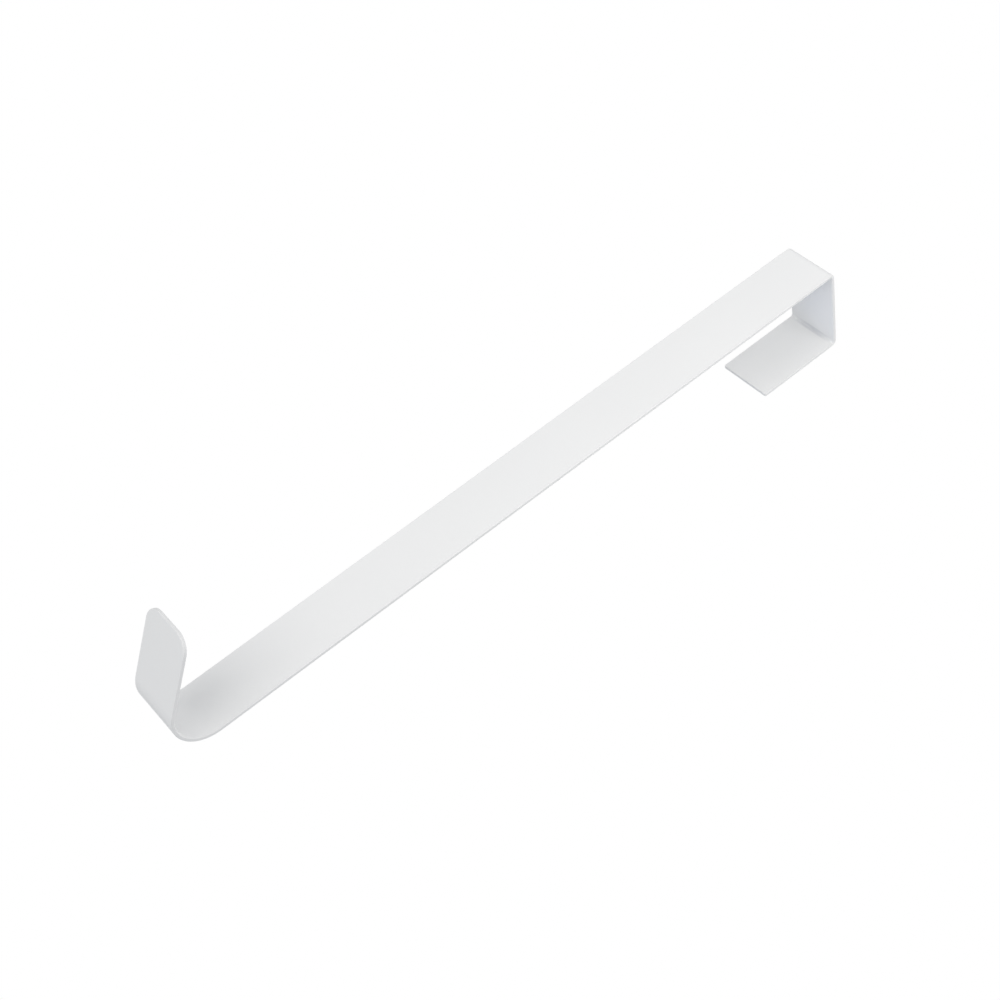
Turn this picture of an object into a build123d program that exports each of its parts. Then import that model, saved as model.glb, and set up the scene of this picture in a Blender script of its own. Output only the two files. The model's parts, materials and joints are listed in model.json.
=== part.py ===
from build123d import *

# A plant hanger extension hook: one flat steel strip, folded three times and powder coated.
#
# The top of the strip is folded square, twice, into a channel that drops over a rail or a board.
# The strip then runs straight down the front of it. Its bottom end is rolled forward into an open
# cradle that carries a pot's hanger, and ends in a rising lip with round corners.
#
# Millimetres. +Z is up as the hook hangs, +Y points to the back of the rail, X runs along the rail.
# The origin is the middle of the face that sits on top of the rail.

import os
from math import cos, isclose, radians, sin, tan

# Strip stock
STRIP_WIDTH = 25.0
STRIP_THICKNESS = 1.5

# Square channel at the top: clear gap between its walls, and reach of its tail below the rail's top
RAIL_GAP = 38.0
TAIL_REACH = 40.5
FOLD_INSIDE_RADIUS = 0.8

# Straight drop, from the face on the rail to the lowest point inside the cradle
DROP = 321.0

# Rolled cradle, and the flat lip that follows it
CRADLE_INSIDE_RADIUS = 14.0
LIP_RISE_DEGREES = 30.0
LIP_LENGTH = 33.0

# Corners blanked at both ends, and the softened edges of the stock
LIP_CORNER_RADIUS = 7.0
TAIL_CORNER_RADIUS = 0.8
EDGE_ROUNDING = 0.35

# Most of a width or a thickness that a round on each side of it may take
ROUNDING_SHARE = 0.45


def centreline() -> FilletPolyline:
    """Middle of the strip's thickness, seen along the rail, from the tail's end to the lip's tip."""
    half_thickness = STRIP_THICKNESS / 2
    wall = RAIL_GAP / 2 + half_thickness
    fold_radius = FOLD_INSIDE_RADIUS + half_thickness
    cradle_radius = CRADLE_INSIDE_RADIUS + half_thickness

    # The drop and the lip would meet, unrolled, at one point ahead of and below the cradle
    rise = radians(LIP_RISE_DEGREES)
    setback = cradle_radius * tan((radians(90) + rise) / 2)
    corner = Vector(-wall, CRADLE_INSIDE_RADIUS - DROP - setback)
    lip_tip = corner + Vector(-cos(rise), sin(rise)) * (setback + LIP_LENGTH)

    return FilletPolyline(
        (wall, -TAIL_REACH),
        (wall, half_thickness),
        (-wall, half_thickness),
        corner,
        lip_tip,
        radius=[fold_radius, fold_radius, cradle_radius],
    )


def end_corners(strip: Part, end: Vector) -> ShapeList[Edge]:
    """The two edges that cross the strip's thickness at one end of its centreline."""
    crossing = ShapeList(e for e in strip.edges() if isclose(e.length, STRIP_THICKNESS))
    return crossing.sort_by_distance(end)[:2]


def outline_edges(strip: Part) -> ShapeList[Edge]:
    """The edges round both broad faces: all but the fold lines and those that cross the thickness."""
    lines = strip.edges().filter_by(GeomType.LINE)
    fold_lines = [e for e in lines.filter_by(Axis.X) if isclose(e.length, STRIP_WIDTH)]
    crossing = [e for e in lines if isclose(e.length, STRIP_THICKNESS)]
    return ShapeList(e for e in strip.edges() if e not in fold_lines + crossing)


def hook_strip() -> Part:
    """The folded strip at its full width, with its end corners rounded and its edges softened."""
    path = centreline()
    profile = Plane.YZ * trace(path, line_width=STRIP_THICKNESS)
    strip = extrude(profile, amount=STRIP_WIDTH / 2, both=True)

    tail_end, lip_tip = (Plane.YZ.from_local_coords(path @ at) for at in (0, 1))
    widest_round = ROUNDING_SHARE * STRIP_WIDTH
    strip = fillet(end_corners(strip, lip_tip), min(LIP_CORNER_RADIUS, widest_round))
    strip = fillet(end_corners(strip, tail_end), min(TAIL_CORNER_RADIUS, widest_round))
    return fillet(outline_edges(strip), min(EDGE_ROUNDING, ROUNDING_SHARE * STRIP_THICKNESS))


os.makedirs("parts", exist_ok=True)
export_step(hook_strip(), "parts/hook_strip.step")
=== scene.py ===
import json
from math import pi, radians

import bpy
import numpy as np
from bpy.props import FloatProperty, FloatVectorProperty, PointerProperty
from mathutils import Matrix, Vector


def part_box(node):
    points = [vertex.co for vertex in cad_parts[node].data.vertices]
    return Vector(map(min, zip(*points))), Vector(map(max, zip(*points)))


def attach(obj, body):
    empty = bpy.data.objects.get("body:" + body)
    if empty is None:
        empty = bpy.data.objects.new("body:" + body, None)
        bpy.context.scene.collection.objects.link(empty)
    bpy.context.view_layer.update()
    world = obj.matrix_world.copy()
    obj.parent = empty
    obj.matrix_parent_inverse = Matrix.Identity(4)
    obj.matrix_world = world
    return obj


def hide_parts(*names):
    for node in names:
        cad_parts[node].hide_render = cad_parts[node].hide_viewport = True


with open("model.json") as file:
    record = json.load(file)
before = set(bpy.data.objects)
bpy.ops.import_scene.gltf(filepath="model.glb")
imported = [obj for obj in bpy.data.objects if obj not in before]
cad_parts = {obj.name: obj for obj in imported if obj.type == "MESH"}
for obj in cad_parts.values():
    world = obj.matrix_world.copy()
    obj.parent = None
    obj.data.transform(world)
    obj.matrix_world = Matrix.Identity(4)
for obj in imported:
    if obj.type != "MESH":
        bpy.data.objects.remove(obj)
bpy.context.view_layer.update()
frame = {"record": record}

bl_info = {
    "name": "Plant Hanger Extension Hook",
    "version": (1, 0, 0),
    "blender": (4, 5, 0),
    "location": "3D Viewport > Sidebar > Plant Hook",
    "description": "Folds a plant hanger extension hook from one strip, powder coats it and lights it",
    "category": "Add Mesh",
}

# The hook hangs with +Z up and its open cradle towards -Y, and X runs along its rail. All lengths
# are metres. Its origin is the middle of the face on the rail, so the box's top is the thickness.
STRIP_NODE = "hook_strip"
LOW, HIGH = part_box(STRIP_NODE)
MOUNTS = {mount["name"]: Vector(mount["pos_m"]) for mount in frame["record"]["mounts"]}

STRIP_WIDTH = HIGH.x - LOW.x
STRIP_THICKNESS = HIGH.z
RAIL_GAP = MOUNTS["tail_face"].y - MOUNTS["strip_back"].y
DROP = -MOUNTS["pot_cradle"].z
CRADLE_RADIUS = MOUNTS["strip_back"].y - STRIP_THICKNESS - MOUNTS["pot_cradle"].y

TAIL_REACH = 0.0405
FOLD_RADIUS = 0.0008
LIP_LENGTH = 0.033
LIP_RISE = radians(30)
LIP_CORNER_RADIUS = 0.007
TAIL_CORNER_RADIUS = 0.0008
EDGE_ROUNDING = 0.00035
FOLD_NARROWING = 0.00015

# Spacing of the mesh: the longest step on a flat, then the number of steps round each bend, each
# pair of end corners and each edge rounding
FLAT_STEP = 0.0025
FOLD_STEPS = 14
CRADLE_STEPS = 60
TAIL_CORNER_STEPS = 6
LIP_CORNER_STEPS = 20
ROUNDING_STEPS = 5

# How far the painted shade in the inside corners reaches, in inside radii of its fold, and how far in
# from the strip's sides that painted shade fades out
CREASE_SHADE_REACH = 1.7
CREASE_SHADE_SIDE_FADE = 0.010

# Layers of finer lumps in the soft patches and in the orange peel, and how the coat refracts
CLOUD_DETAIL = 2
PEEL_DETAIL = 1
COAT_IOR = 1.5

# The mesh's own measure of where its cut edge is, from 0 on the broad faces to 1 on the edge; it places
# the painted shade on the cut edges
CUT_EDGE = "cut_edge"

# The camera of the picture: where it stands, what it looks at, which way is up, its lens and sensor
# in mm, and the nearest and furthest distance that it sees
CAMERA_PLACE = Vector((0.39589, -0.53763, -0.37676))
CAMERA_AIM = Vector((0.00394, -0.01996, -0.17033))
CAMERA_UP = Vector((-0.533829, -0.629381, 0.564718))
CAMERA_LENS = 63.9416
CAMERA_SENSOR = 36.0
CAMERA_CLIP = (0.01, 100.0)

# The studio's floor: wide and well below the hanging hook. Where it is seen, it is part white
# already at the near one of two distances from the hook's origin and all white at the far one.
FLOOR_HEIGHT = -2.2
FLOOR_SIZE = 20.0
FLOOR_FADE = (2.5, 8.0)
LEAST_FADE = 0.15

# Three soft lamps, each with its place, the place it looks at, and the side of its square
KEY_LAMP = (Vector((0.217, -1.564, -1.060)), Vector((0.0, -0.02, -0.16)), 1.5)
RAIL_LAMP = (Vector((0.283, -0.283, -0.020)), Vector((0.0, 0.0, -0.02)), 0.3)
BACK_LAMP = (Vector((0.0, 0.829, 0.689)), Vector((0.0, -0.02, -0.16)), 1.0)

# A narrow lamp far below that looks up through the channel: its place, the place on the web that
# it looks at, the full angle of its cone, and the radius of its bulb
CHANNEL_LAMP = (Vector((0.0, 0.0, -1.2)), Vector((0.008, 0.0, 0.0)), radians(2.6), 0.01)


class HookSizes(bpy.types.PropertyGroup):
    """Real sizes of the folded strip"""

    width: FloatProperty(
        name="Strip width",
        description="Width of the steel strip, along the rail",
        default=STRIP_WIDTH,
        min=0.0,
        subtype="DISTANCE",
    )
    thickness: FloatProperty(
        name="Strip thickness",
        description="Thickness of the steel strip with its coat",
        default=STRIP_THICKNESS,
        min=0.0,
        subtype="DISTANCE",
    )
    rail_gap: FloatProperty(
        name="Rail gap",
        description="Clear width of the square channel that drops over the rail",
        default=RAIL_GAP,
        min=0.0,
        subtype="DISTANCE",
    )
    tail_reach: FloatProperty(
        name="Tail reach",
        description="How far the tail comes down behind the rail, from the rail's top",
        default=TAIL_REACH,
        min=0.0,
        subtype="DISTANCE",
    )
    fold_radius: FloatProperty(
        name="Fold radius",
        description="Inside radius of the two square folds",
        default=FOLD_RADIUS,
        min=0.0,
        subtype="DISTANCE",
    )
    fold_narrowing: FloatProperty(
        name="Fold narrowing",
        description="How far each side of the strip draws in on the stretched outside of a square fold",
        default=FOLD_NARROWING,
        min=0.0,
        subtype="DISTANCE",
    )
    drop: FloatProperty(
        name="Drop",
        description="Height from the rail's top to the lowest point inside the cradle",
        default=DROP,
        min=0.0,
        subtype="DISTANCE",
    )
    cradle_radius: FloatProperty(
        name="Cradle radius",
        description="Inside radius of the rolled cradle",
        default=CRADLE_RADIUS,
        min=0.0,
        subtype="DISTANCE",
    )
    lip_length: FloatProperty(
        name="Lip length",
        description="Length of the flat lip past the cradle",
        default=LIP_LENGTH,
        min=0.0,
        subtype="DISTANCE",
    )
    lip_rise: FloatProperty(
        name="Lip rise",
        description="Angle of the lip above the horizontal",
        default=LIP_RISE,
        subtype="ANGLE",
    )
    lip_corner_radius: FloatProperty(
        name="Lip corner radius",
        description="Radius of the two corners at the lip's tip",
        default=LIP_CORNER_RADIUS,
        min=0.0,
        subtype="DISTANCE",
    )
    tail_corner_radius: FloatProperty(
        name="Tail corner radius",
        description="Radius of the two corners at the tail's end",
        default=TAIL_CORNER_RADIUS,
        min=0.0,
        subtype="DISTANCE",
    )
    edge_rounding: FloatProperty(
        name="Edge rounding",
        description="Radius that the coat gives the edges round both broad faces",
        default=EDGE_ROUNDING,
        min=0.0,
        subtype="DISTANCE",
    )


class CoatLook(bpy.types.PropertyGroup):
    """Colours, painted shade and relief of the powder coat"""

    pale: FloatVectorProperty(
        name="Coat",
        description="Colour of most of the coat",
        default=(0.830, 0.833, 0.829),
        min=0.0,
        max=1.0,
        subtype="COLOR",
    )
    deep: FloatVectorProperty(
        name="Thicker coat",
        description="Colour where the powder lies a little thicker",
        default=(0.811, 0.814, 0.810),
        min=0.0,
        max=1.0,
        subtype="COLOR",
    )
    peel_size: FloatProperty(
        name="Peel size",
        description="Width of one dimple of the orange peel",
        default=0.0018,
        min=0.0001,
        subtype="DISTANCE",
    )
    peel_depth: FloatProperty(
        name="Peel depth",
        description="Depth of the orange peel",
        default=0.000012,
        min=0.0,
        precision=6,
        subtype="DISTANCE",
    )
    # Painted shade: a greyer colour deep in the two square folds, standing in for the shade in the
    # crease
    painted_crease_shade: FloatVectorProperty(
        name="Inside corner",
        description="Colour deep in the two square folds, where the powder hardly reaches",
        default=(0.685, 0.69, 0.70),
        min=0.0,
        max=1.0,
        subtype="COLOR",
    )
    # Painted shade: a greyer colour on the cut edges, standing in for the shade on the edge faces
    painted_edge_shade: FloatVectorProperty(
        name="Cut edge",
        description="Colour of the cut edges, from which the powder draws back as it melts",
        default=(0.772, 0.775, 0.771),
        min=0.0,
        max=1.0,
        subtype="COLOR",
    )
    cloud_size: FloatProperty(
        name="Cloud size",
        description="Width of the soft patches where the powder lies thicker",
        default=0.03,
        min=0.001,
        subtype="DISTANCE",
    )
    least_roughness: FloatProperty(
        name="Least roughness",
        description="Roughness where the powder lies thinner",
        default=0.54,
        min=0.0,
        max=1.0,
        subtype="FACTOR",
    )
    most_roughness: FloatProperty(
        name="Most roughness",
        description="Roughness where the powder lies thicker",
        default=0.60,
        min=0.0,
        max=1.0,
        subtype="FACTOR",
    )


class StudioLook(bpy.types.PropertyGroup):
    """Light and floor of the picture"""

    key_power: FloatProperty(
        name="Key lamp",
        description="Power of the soft lamp low in front of the hook",
        default=12.4,
        min=0.0,
        subtype="POWER",
    )
    rail_power: FloatProperty(
        name="Rail lamp",
        description="Power of the soft lamp in front of the channel, level with the rail",
        default=0.56,
        min=0.0,
        subtype="POWER",
    )
    channel_power: FloatProperty(
        name="Channel lamp",
        description="Power of the narrow cool lamp that looks up through the channel",
        default=8.0,
        min=0.0,
        subtype="POWER",
    )
    back_power: FloatProperty(
        name="Back lamp",
        description="Power of the soft lamp above and behind the hook",
        default=8.0,
        min=0.0,
        subtype="POWER",
    )
    lamp_color: FloatVectorProperty(
        name="Lamp colour",
        description="Colour of the key, rail and back lamps",
        default=(1.0, 0.975, 0.94),
        min=0.0,
        max=1.0,
        subtype="COLOR",
    )
    channel_color: FloatVectorProperty(
        name="Channel lamp colour",
        description="Colour of the channel lamp",
        default=(0.67, 0.755, 1.0),
        min=0.0,
        max=1.0,
        subtype="COLOR",
    )
    fill_color: FloatVectorProperty(
        name="Fill colour",
        description="Colour of the light that comes evenly from all round",
        default=(0.600, 0.611, 0.634),
        min=0.0,
        max=1.0,
        subtype="COLOR",
    )
    floor_color: FloatVectorProperty(
        name="Floor colour",
        description="Colour of the studio floor",
        default=(0.85, 0.86, 0.87),
        min=0.0,
        max=1.0,
        subtype="COLOR",
    )


def fold_runs(sizes):
    """Lengths and turns, tail to lip, of the seven runs that make the strip's middle line.

    A straight run has no turn. A bend of radius r to the strip's middle turns by t over a length
    of r t. The two square folds turn left and the cradle turns right, seen with +Y to the right.
    """
    fold = sizes.fold_radius + sizes.thickness / 2
    cradle = sizes.cradle_radius + sizes.thickness / 2
    square = pi / 2
    roll = square + sizes.lip_rise
    lengths = [
        sizes.tail_reach - sizes.fold_radius,
        fold * square,
        sizes.rail_gap - 2 * sizes.fold_radius,
        fold * square,
        sizes.drop - sizes.cradle_radius - sizes.fold_radius,
        cradle * roll,
        sizes.lip_length,
    ]
    turns = [0, square, 0, square, 0, -roll, 0]
    return np.array(lengths), np.array(turns)


def chord(length, heading, rate):
    """Step in the YZ plane over a run that starts at a heading and turns at an even rate.

    With h half of the turn made, the step is length * sin(h) / h in the direction heading + h.
    On a straight run h is 0 and the step is the length itself.
    """
    half_turn = rate * length / 2
    reach = length * np.sinc(half_turn / pi)
    return np.stack([reach * np.cos(heading + half_turn), reach * np.sin(heading + half_turn)], -1)


def folded_frame(along, sizes):
    """Middle line, direction and rail-side normal in the YZ plane, at places along the flat strip.

    The line starts at the tail's end, heading up. A place belongs to the run that it falls in, and
    lies one chord past that run's start. The normal is the direction turned left, which points at
    the rail in the channel and away from the pot on the cradle and lip.
    """
    lengths, turns = fold_runs(sizes)
    rates = turns / lengths
    starts = np.cumsum(lengths) - lengths
    headings = pi / 2 + np.cumsum(turns) - turns
    tail_end = [sizes.rail_gap / 2 + sizes.thickness / 2, -sizes.tail_reach]
    steps = chord(lengths, headings, rates)
    corners = tail_end + np.cumsum(steps, 0) - steps

    run = np.clip(np.searchsorted(starts, along, side="right") - 1, 0, len(lengths) - 1)
    past = along - starts[run]
    middle = corners[run] + chord(past, headings[run], rates[run])
    heading = headings[run] + rates[run] * past
    direction = np.stack([np.cos(heading), np.sin(heading)], -1)
    normal = np.stack([-np.sin(heading), np.cos(heading)], -1)
    return middle, direction, normal


def narrowing(along, height, sizes):
    """Share of its width that the strip loses beside the square folds.

    It is the narrowing times a bell curve along the strip, as wide as the fold, times a ramp
    through the thickness that goes from 0 on the fold's inside to 1 on its outside.
    """
    lengths, turns = fold_runs(sizes)
    is_square = turns > 0
    middles = (np.cumsum(lengths) - lengths / 2)[is_square]
    spread = lengths[is_square]
    bell = np.exp(-(((along[..., None] - middles) / spread) ** 2)).sum(-1)
    ramp = 0.5 - height / sizes.thickness
    return bell * ramp * sizes.fold_narrowing / (sizes.width / 2)


def corner_rows(radius, sizes, steps):
    """Rows across one rounded end of the flat strip, from its end inwards.

    The flat of the face keeps the edge rounding away from the outline. At angle a, from 0 at the
    end to a quarter turn at the side, with c the corner radius less the rounding, a row lies
    radius - c cos a from the end and ends radius - c sin a inside the strip's side. The outline
    faces cos a towards the end and sin a towards the side.
    """
    angle = np.linspace(0, pi / 2, steps + 1)
    core = radius - sizes.edge_rounding
    from_end = radius - core * np.cos(angle)
    half_width = sizes.width / 2 - radius + core * np.sin(angle)
    return from_end, half_width, np.cos(angle), np.sin(angle)


def face_rows(sizes):
    """Rows across the flat of the unrolled strip, tail to lip.

    Gives each row's place along the strip, its half width, and how far the outline beside it faces
    along and across the strip. Rows follow both pairs of round corners, stand close together in
    the bends and further apart on the flats.
    """
    lengths, turns = fold_runs(sizes)
    total = lengths.sum()
    tail = corner_rows(sizes.tail_corner_radius, sizes, TAIL_CORNER_STEPS)
    lip = corner_rows(sizes.lip_corner_radius, sizes, LIP_CORNER_STEPS)

    ends = np.clip(
        np.concatenate([[0], np.cumsum(lengths)]),
        sizes.tail_corner_radius,
        total - sizes.lip_corner_radius,
    )
    flat_steps = np.ceil(np.diff(ends) / FLAT_STEP).astype(int)
    bend_steps = np.where(turns > 0, FOLD_STEPS, CRADLE_STEPS)
    steps = np.where(turns == 0, flat_steps, bend_steps)
    middle = np.concatenate(
        [np.linspace(a, b, n, endpoint=False) for a, b, n in zip(ends[:-1], ends[1:], steps)]
    )[1:]

    along = np.concatenate([tail[0], middle, total - lip[0][::-1]])
    side = np.full(len(middle), sizes.width / 2 - sizes.edge_rounding)
    half_width = np.concatenate([tail[1], side, lip[1][::-1]])
    facing_along = np.concatenate([-tail[2], np.zeros(len(middle)), lip[2][::-1]])
    facing_across = np.concatenate([tail[3], np.ones(len(middle)), lip[3][::-1]])
    return along, half_width, facing_along, facing_across


def outline_order(rows, columns):
    """Row and column of every outline point of a grid, counter-clockwise from its first corner."""
    across, up = np.arange(columns - 1), np.arange(rows - 1)
    row = np.concatenate([0 * across, up, 0 * across + rows - 1, rows - 1 - up])
    column = np.concatenate([across, 0 * up + columns - 1, columns - 1 - across, 0 * up])
    return row, column


def edge_profile(sizes):
    """Section through the strip's edge, from the rail side to the show side.

    Two quarter circles with the edge rounding as radius, joined by the flat between them. At angle
    a, from 0 to a half turn, the edge stands out by r sin a, at height +-core + r cos a, and faces
    sin a outwards and cos a upwards.
    """
    quarter = np.linspace(0, pi / 2, ROUNDING_STEPS + 1)
    angle = np.concatenate([quarter, quarter + pi / 2])
    core = (sizes.thickness / 2 - sizes.edge_rounding) * np.where(angle > pi / 2, -1, 1)
    core[ROUNDING_STEPS + 1] *= -1
    return angle, sizes.edge_rounding * np.sin(angle), core + sizes.edge_rounding * np.cos(angle)


def strip_surface(sizes):
    """Points, normals, quads and edge measure of the closed, folded strip.

    In the flat, both broad faces are one grid of rows and columns, at plus and minus half the
    thickness. The edge is its profile carried round the grid's outline, point by point along the
    way that the outline faces. Folding then takes a point at (along, across, height) to the middle
    line at along, plus height times the normal, plus across times X. The edge measure is how far
    a point faces out of the strip's side or end: 0 on the broad faces and sin a on the edge.
    """
    row_along, row_half, row_facing_along, row_facing_across = face_rows(sizes)
    columns = int(np.ceil(sizes.width / FLAT_STEP)) + 1
    share = np.linspace(-1, 1, columns)
    rows = len(row_along)
    face_along = np.repeat(row_along, columns)
    face_across = np.outer(row_half, share).ravel()
    top = sizes.thickness / 2

    row, column = outline_order(rows, columns)
    side = np.sign(share[column])
    facing_along = row_facing_along[row][:, None]
    facing_across = (side * row_facing_across[row])[:, None]
    angle, out, height = (values[None, 1:-1] for values in edge_profile(sizes))
    edge_along = row_along[row][:, None] + facing_along * out
    edge_across = (row_half[row] * share[column])[:, None] + facing_across * out

    flat = np.zeros_like(face_along)
    along = np.concatenate([face_along, face_along, edge_along.ravel()])
    across = np.concatenate([face_across, face_across, edge_across.ravel()])
    heights = np.concatenate([flat + top, flat - top, (height + 0 * edge_along).ravel()])
    normal_along = np.concatenate([flat, flat, (facing_along * np.sin(angle)).ravel()])
    normal_across = np.concatenate([flat, flat, (facing_across * np.sin(angle)).ravel()])
    normal_up = np.concatenate([flat + 1, flat - 1, (np.cos(angle) + 0 * edge_along).ravel()])
    edge = np.concatenate([flat, flat, (np.sin(angle) + 0 * edge_along).ravel()])

    across = across * (1 - narrowing(along, heights, sizes))
    middle, direction, normal = folded_frame(along, sizes)
    points = np.column_stack([across, middle + heights[:, None] * normal])
    facing = direction * normal_along[:, None] + normal * normal_up[:, None]
    normals = np.column_stack([normal_across, facing])

    upper = np.arange(rows * columns).reshape(rows, columns)
    lower = upper + upper.size
    rim = 2 * upper.size + np.arange(edge_along.size).reshape(edge_along.shape)
    rings = np.column_stack([upper[row, column], rim, lower[row, column]])
    quads = [grid_quads(upper), grid_quads(lower)[:, ::-1], grid_quads(np.vstack([rings, rings[:1]]))]
    return points, normals, np.concatenate(quads), edge


def grid_quads(index):
    """The quads of a grid of point numbers.

    They face the side from which a row's points run to the right and the rows follow upwards.
    """
    corners = [index[:-1, :-1], index[:-1, 1:], index[1:, 1:], index[1:, :-1]]
    return np.stack(corners, -1).reshape(-1, 4)


def mesh_object(name, points, quads, normals=None):
    """A smooth mesh object at the origin, made of the given points and quads."""
    mesh = bpy.data.meshes.new(name)
    mesh.from_pydata(points, [], quads)
    mesh.polygons.foreach_set("use_smooth", np.ones(len(quads), bool))
    if normals is not None:
        mesh.normals_split_custom_set_from_vertices(normals)
    mesh.validate(clean_customdata=False)
    made = bpy.data.objects.new(name, mesh)
    bpy.context.scene.collection.objects.link(made)
    return made


def new_material(name):
    """An empty node material, with its nodes and links."""
    material = bpy.data.materials.new(name)
    material.use_nodes = True
    material.node_tree.nodes.clear()
    return material, material.node_tree.nodes, material.node_tree.links


def noise(tree, place, size, detail):
    """A noise texture whose lumps are about as wide as size, read at a place."""
    texture = tree.nodes.new("ShaderNodeTexNoise")
    texture.inputs["Scale"].default_value = 1 / size
    texture.inputs["Detail"].default_value = detail
    tree.links.new(place, texture.inputs["Vector"])
    return texture.outputs["Fac"]


def tint(tree, share, color):
    """A mix of its own A with a colour, which has the whole say where the share is 1."""
    mix = tree.nodes.new("ShaderNodeMix")
    mix.data_type = "RGBA"
    mix.inputs["B"].default_value = (*color, 1)
    tree.links.new(share, mix.inputs["Factor"])
    return mix


def reckon(tree, operation, *values):
    """The outcome of one math operation on one or two values."""
    node = tree.nodes.new("ShaderNodeMath")
    node.operation = operation
    for value, socket in zip(values, node.inputs):
        tree.links.new(value, socket)
    return node.outputs[0]


def soft_step(tree, value, start, end, least=0):
    """A smooth rise from least to 1 while a value goes from start to end, whichever is greater."""
    step = tree.nodes.new("ShaderNodeMapRange")
    step.interpolation_type = "SMOOTHSTEP"
    step.inputs["From Min"].default_value = start
    step.inputs["From Max"].default_value = end
    step.inputs["To Min"].default_value = least
    tree.links.new(value, step.inputs["Value"])
    return step.outputs["Result"]


def crease_shade_share(tree, place, sizes):
    """Share of painted shade: 1 deep in the two square folds, and 0 away from them and at the strip's
    sides.

    It reads the distance, seen along the rail, to the nearer fold's centre. The folds stand at
    equal distances on both sides of the origin, so the place's own Y loses its sign first. Along
    the rail, the place's X without its sign says how near the strip's side is.
    """
    fold = sizes.fold_radius
    side = sizes.width / 2
    split = tree.nodes.new("ShaderNodeSeparateXYZ")
    tree.links.new(place, split.inputs[0])
    section = tree.nodes.new("ShaderNodeCombineXYZ")
    tree.links.new(reckon(tree, "ABSOLUTE", split.outputs["Y"]), section.inputs["Y"])
    tree.links.new(split.outputs["Z"], section.inputs["Z"])
    distance = tree.nodes.new("ShaderNodeVectorMath")
    distance.operation = "DISTANCE"
    distance.inputs[1].default_value = (0, sizes.rail_gap / 2 - fold, -fold)
    tree.links.new(section.outputs[0], distance.inputs[0])
    near = soft_step(tree, distance.outputs["Value"], fold * CREASE_SHADE_REACH, fold)
    closed = soft_step(tree, reckon(tree, "ABSOLUTE", split.outputs["X"]), side, side - CREASE_SHADE_SIDE_FADE)
    return reckon(tree, "MULTIPLY", near, closed)


def powder_coat(look, sizes):
    """Satin powder coat: near white, in soft patches of thicker powder, with a fine orange peel.

    Painted shade makes it greyer deep in the square folds, away from the strip's sides, and a little
    greyer on the cut edges.
    """
    material, nodes, links = new_material("powder_coat")
    tree = material.node_tree
    place = nodes.new("ShaderNodeTexCoord").outputs["Object"]

    cloud = noise(tree, place, look.cloud_size, CLOUD_DETAIL)
    coat = tint(tree, cloud, look.pale)
    coat.inputs["A"].default_value = (*look.deep, 1)
    # Painted shade in the creases of the square folds
    crease_shaded = tint(tree, crease_shade_share(tree, place, sizes), look.painted_crease_shade)
    links.new(coat.outputs["Result"], crease_shaded.inputs["A"])
    # Painted shade on the cut edges
    edge = nodes.new("ShaderNodeAttribute")
    edge.attribute_name = CUT_EDGE
    edge_shaded = tint(tree, edge.outputs["Fac"], look.painted_edge_shade)
    links.new(crease_shaded.outputs["Result"], edge_shaded.inputs["A"])

    gloss = nodes.new("ShaderNodeMapRange")
    gloss.inputs["To Min"].default_value = look.most_roughness
    gloss.inputs["To Max"].default_value = look.least_roughness
    links.new(cloud, gloss.inputs["Value"])

    peel = nodes.new("ShaderNodeBump")
    peel.inputs["Distance"].default_value = look.peel_depth
    links.new(noise(tree, place, look.peel_size, PEEL_DETAIL), peel.inputs["Height"])

    shader = nodes.new("ShaderNodeBsdfPrincipled")
    shader.inputs["Metallic"].default_value = 0
    shader.inputs["IOR"].default_value = COAT_IOR
    links.new(edge_shaded.outputs["Result"], shader.inputs["Base Color"])
    links.new(gloss.outputs["Result"], shader.inputs["Roughness"])
    links.new(peel.outputs["Normal"], shader.inputs["Normal"])
    links.new(shader.outputs["BSDF"], nodes.new("ShaderNodeOutputMaterial").inputs["Surface"])
    return material


def seen_directly(tree):
    """1 where the camera, a reflection or a view through looks, and 0 for light itself."""
    path = tree.nodes.new("ShaderNodeLightPath")
    seen = path.outputs["Is Camera Ray"]
    for ray in ("Is Glossy Ray", "Is Transmission Ray"):
        seen = reckon(tree, "MAXIMUM", seen, path.outputs[ray])
    return seen


def floor_paint(color):
    """Matt pale paint that is seen to fade to white with its distance from the hook's origin."""
    material, nodes, links = new_material("studio_floor")
    tree = material.node_tree
    distance = nodes.new("ShaderNodeVectorMath")
    distance.operation = "LENGTH"
    links.new(nodes.new("ShaderNodeTexCoord").outputs["Object"], distance.inputs[0])
    fade = soft_step(tree, distance.outputs["Value"], *FLOOR_FADE, LEAST_FADE)
    share = reckon(tree, "MULTIPLY", fade, seen_directly(tree))

    paint = nodes.new("ShaderNodeBsdfDiffuse")
    paint.inputs["Color"].default_value = (*color, 1)
    mix = nodes.new("ShaderNodeMixShader")
    links.new(share, mix.inputs["Fac"])
    links.new(paint.outputs["BSDF"], mix.inputs[1])
    links.new(nodes.new("ShaderNodeEmission").outputs["Emission"], mix.inputs[2])
    links.new(mix.outputs["Shader"], nodes.new("ShaderNodeOutputMaterial").inputs["Surface"])
    return material


def studio_world(fill_color):
    """White where it is seen, and the even fill where it only lights."""
    world = bpy.data.worlds.new("studio")
    world.use_nodes = True
    nodes, links = world.node_tree.nodes, world.node_tree.links
    nodes.clear()
    shade = tint(world.node_tree, seen_directly(world.node_tree), (1, 1, 1))
    shade.inputs["A"].default_value = (*fill_color, 1)
    background = nodes.new("ShaderNodeBackground")
    links.new(shade.outputs["Result"], background.inputs["Color"])
    links.new(background.outputs[0], nodes.new("ShaderNodeOutputWorld").inputs["Surface"])
    return world


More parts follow.
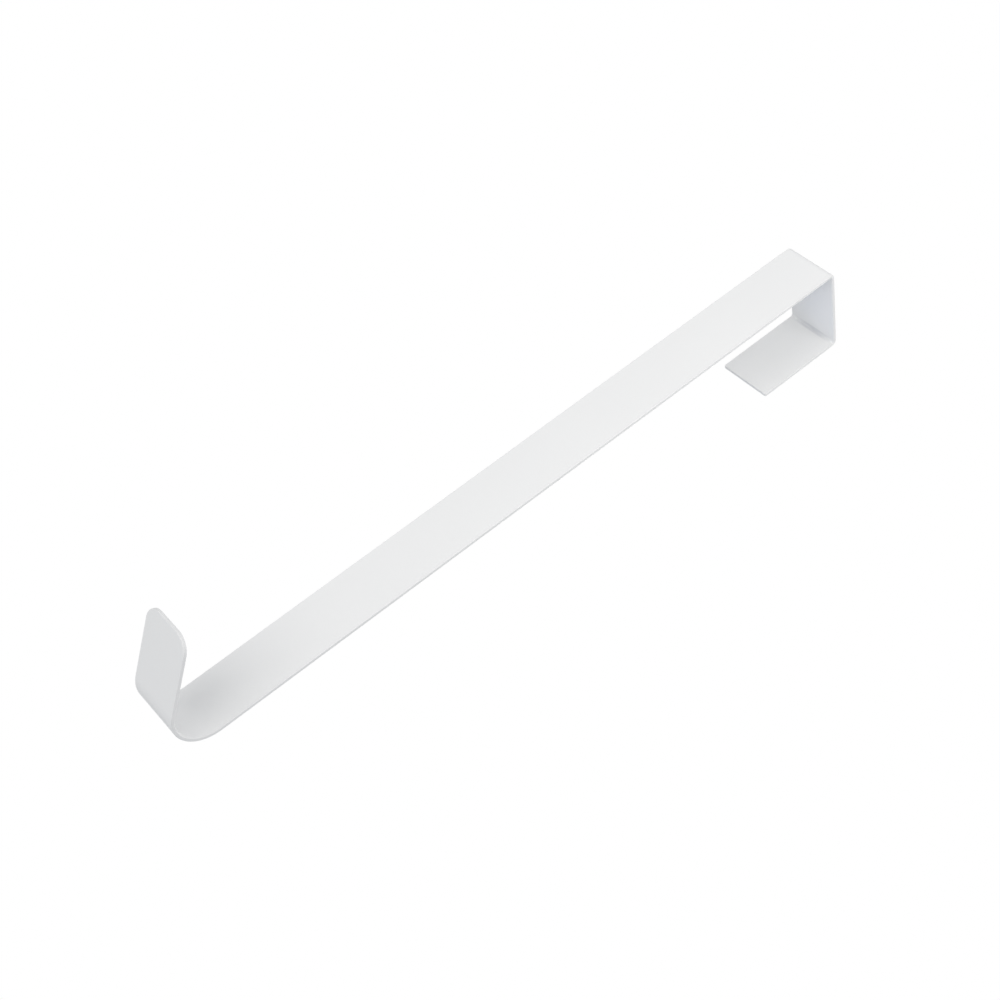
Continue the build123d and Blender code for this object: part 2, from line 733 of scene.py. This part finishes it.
def hang_lamp(light, place, aim, power, color):
    """Hang a lamp where it looks from a place to an aim, and isn't seen itself."""
    light.energy = power
    light.color = color
    lamp = bpy.data.objects.new(light.name, light)
    lamp.location = place
    lamp.rotation_euler = (aim - place).to_track_quat("-Z", "Y").to_euler()
    lamp.visible_camera = False
    bpy.context.scene.collection.objects.link(lamp)


def soft_lamp(name, place, aim, size, power, color):
    """A square area lamp."""
    light = bpy.data.lights.new(name, "AREA")
    light.size = size
    hang_lamp(light, place, aim, power, color)


def narrow_lamp(name, place, aim, cone, radius, power, color):
    """A spot whose light fades from the middle of its cone all the way to the rim."""
    light = bpy.data.lights.new(name, "SPOT")
    light.spot_size = cone
    light.spot_blend = 1
    light.shadow_soft_size = radius
    hang_lamp(light, place, aim, power, color)


def photo_camera():
    """The camera of the picture, turned so that its own up is the picture's."""
    data = bpy.data.cameras.new("photo_camera")
    data.lens = CAMERA_LENS
    data.sensor_width = CAMERA_SENSOR
    data.dof.use_dof = False
    data.clip_start, data.clip_end = CAMERA_CLIP
    back = (CAMERA_PLACE - CAMERA_AIM).normalized()
    right = CAMERA_UP.cross(back).normalized()
    turn = Matrix((right, back.cross(right), back)).transposed()
    camera = bpy.data.objects.new("photo_camera", data)
    camera.matrix_world = Matrix.Translation(CAMERA_PLACE) @ turn.to_4x4()
    bpy.context.scene.collection.objects.link(camera)
    return camera


class HOOK_OT_fold_strip(bpy.types.Operator):
    """Fold the hook from its strip and powder coat it"""

    bl_idname = "plant_hook.fold_strip"
    bl_label = "Fold and Coat Strip"
    bl_options = {"REGISTER", "UNDO"}

    def execute(self, context):
        sizes = context.scene.plant_hook_sizes
        points, normals, quads, edge = strip_surface(sizes)
        strip = mesh_object("coated_strip", points, quads, normals)
        strip.data.attributes.new(CUT_EDGE, "FLOAT", "POINT").data.foreach_set("value", edge)
        strip.data.materials.append(powder_coat(context.scene.plant_hook_coat, sizes))
        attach(strip, "root")
        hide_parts(STRIP_NODE)
        return {"FINISHED"}


class HOOK_OT_set_studio(bpy.types.Operator):
    """Lay the floor, hang the lamps and place the camera"""

    bl_idname = "plant_hook.set_studio"
    bl_label = "Set Studio"
    bl_options = {"REGISTER", "UNDO"}

    def execute(self, context):
        look = context.scene.plant_hook_studio
        half = FLOOR_SIZE / 2
        plan = ((-half, -half), (half, -half), (half, half), (-half, half))
        corners = [(x, y, FLOOR_HEIGHT) for x, y in plan]
        floor = mesh_object("studio_floor", corners, [(0, 1, 2, 3)])
        floor.data.materials.append(floor_paint(look.floor_color))

        soft_lamp("key_lamp", *KEY_LAMP, look.key_power, look.lamp_color)
        soft_lamp("rail_lamp", *RAIL_LAMP, look.rail_power, look.lamp_color)
        soft_lamp("back_lamp", *BACK_LAMP, look.back_power, look.lamp_color)
        narrow_lamp("channel_lamp", *CHANNEL_LAMP, look.channel_power, look.channel_color)
        context.scene.world = studio_world(look.fill_color)
        context.scene.camera = photo_camera()
        context.scene.view_settings.view_transform = "Standard"
        return {"FINISHED"}


class HOOK_PT_panel(bpy.types.Panel):
    """Sizes, finish and studio of the plant hook"""

    bl_idname = "HOOK_PT_panel"
    bl_label = "Plant Hook"
    bl_space_type = "VIEW_3D"
    bl_region_type = "UI"
    bl_category = "Plant Hook"

    def draw(self, context):
        scene = context.scene
        for heading, group, operator in (
            ("Strip", scene.plant_hook_sizes, None),
            ("Coat", scene.plant_hook_coat, HOOK_OT_fold_strip),
            ("Studio", scene.plant_hook_studio, HOOK_OT_set_studio),
        ):
            column = self.layout.column(align=True)
            column.label(text=heading)
            for name in group.__annotations__:
                column.prop(group, name)
            if operator:
                column.operator(operator.bl_idname)


CLASSES = (HookSizes, CoatLook, StudioLook, HOOK_OT_fold_strip, HOOK_OT_set_studio, HOOK_PT_panel)


def register():
    for cls in CLASSES:
        bpy.utils.register_class(cls)
    bpy.types.Scene.plant_hook_sizes = PointerProperty(type=HookSizes)
    bpy.types.Scene.plant_hook_coat = PointerProperty(type=CoatLook)
    bpy.types.Scene.plant_hook_studio = PointerProperty(type=StudioLook)


def unregister():
    del bpy.types.Scene.plant_hook_studio
    del bpy.types.Scene.plant_hook_coat
    del bpy.types.Scene.plant_hook_sizes
    for cls in reversed(CLASSES):
        bpy.utils.unregister_class(cls)


def main():
    """Register the classes, and make the hook and its studio"""
    register()
    bpy.ops.plant_hook.fold_strip()
    bpy.ops.plant_hook.set_studio()


if __name__ == "__main__":
    main()
